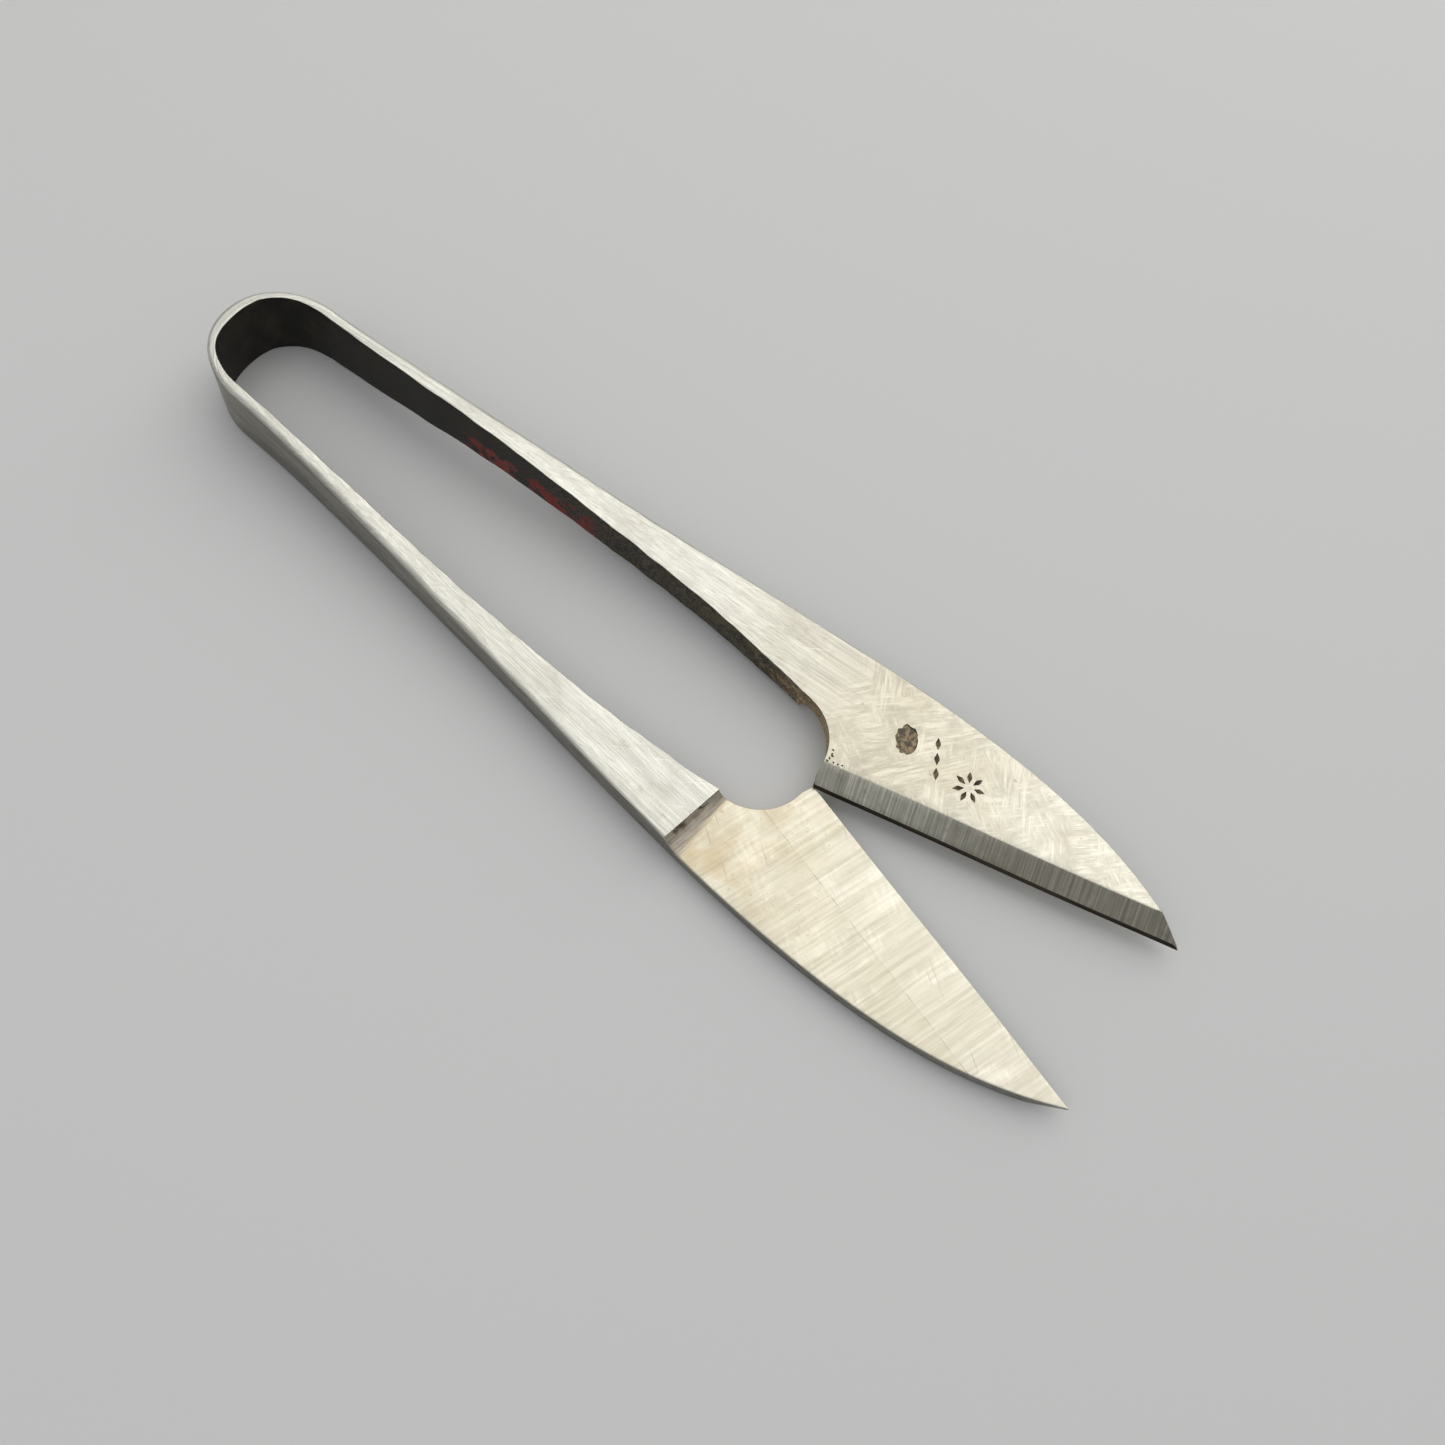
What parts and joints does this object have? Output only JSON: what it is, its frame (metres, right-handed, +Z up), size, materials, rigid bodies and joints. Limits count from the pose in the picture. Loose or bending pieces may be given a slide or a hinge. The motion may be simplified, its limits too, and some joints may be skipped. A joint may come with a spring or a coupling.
{
  "type": "spring snips",
  "caption": "Forged U-bow spring snips: a springy bow, two flat arms and two short bevelled blades that cross when the arms are squeezed.",
  "frame": {"origin": "under the middle of the length and width, in the plane that the snips lie on", "axes": "+X from the round end of the bow to the tips, +Y towards the upper blade, +Z up out of the plane that the snips lie on"},
  "size_m": [0.105, 0.027, 0.0074],
  "materials": {
    "brushed_iron": "lengthwise brushed, with dark forge scale inside the bow",
    "blade_iron": "hand-scraped and cross-brushed, with a warm patina",
    "hard_steel": "ground across the edge, darker than the iron"
  },
  "bodies": {
    "bow": {"bow_crown": "brushed_iron", "upper_spring_leg": "brushed_iron", "lower_spring_leg": "brushed_iron"},
    "upper_limb": {"upper_arm": "brushed_iron", "upper_blade": "blade_iron", "upper_edge_steel": "hard_steel"},
    "lower_limb": {"lower_arm": "brushed_iron", "lower_blade": "blade_iron", "lower_edge_steel": "hard_steel"}
  },
  "joints": [
    {"name": "upper_flex", "type": "hinge", "parent": "bow", "child": "upper_limb", "pos_m": [-0.0425, 0.0061, 0.0035], "axis": [0, 0, -1], "range_deg": [0, 6], "stiffness_Nm_per_rad": 3.5, "deforming": ["upper_spring_leg"]},
    {"name": "lower_flex", "type": "hinge", "parent": "bow", "child": "lower_limb", "pos_m": [-0.0425, -0.0061, 0.0035], "axis": [0, 0, 1], "range_deg": [0, 6], "stiffness_Nm_per_rad": 3.5, "deforming": ["lower_spring_leg"]}
  ],
  "couplings": [
    {"joint": "lower_flex", "follows": "upper_flex", "ratio": 1}
  ]
}
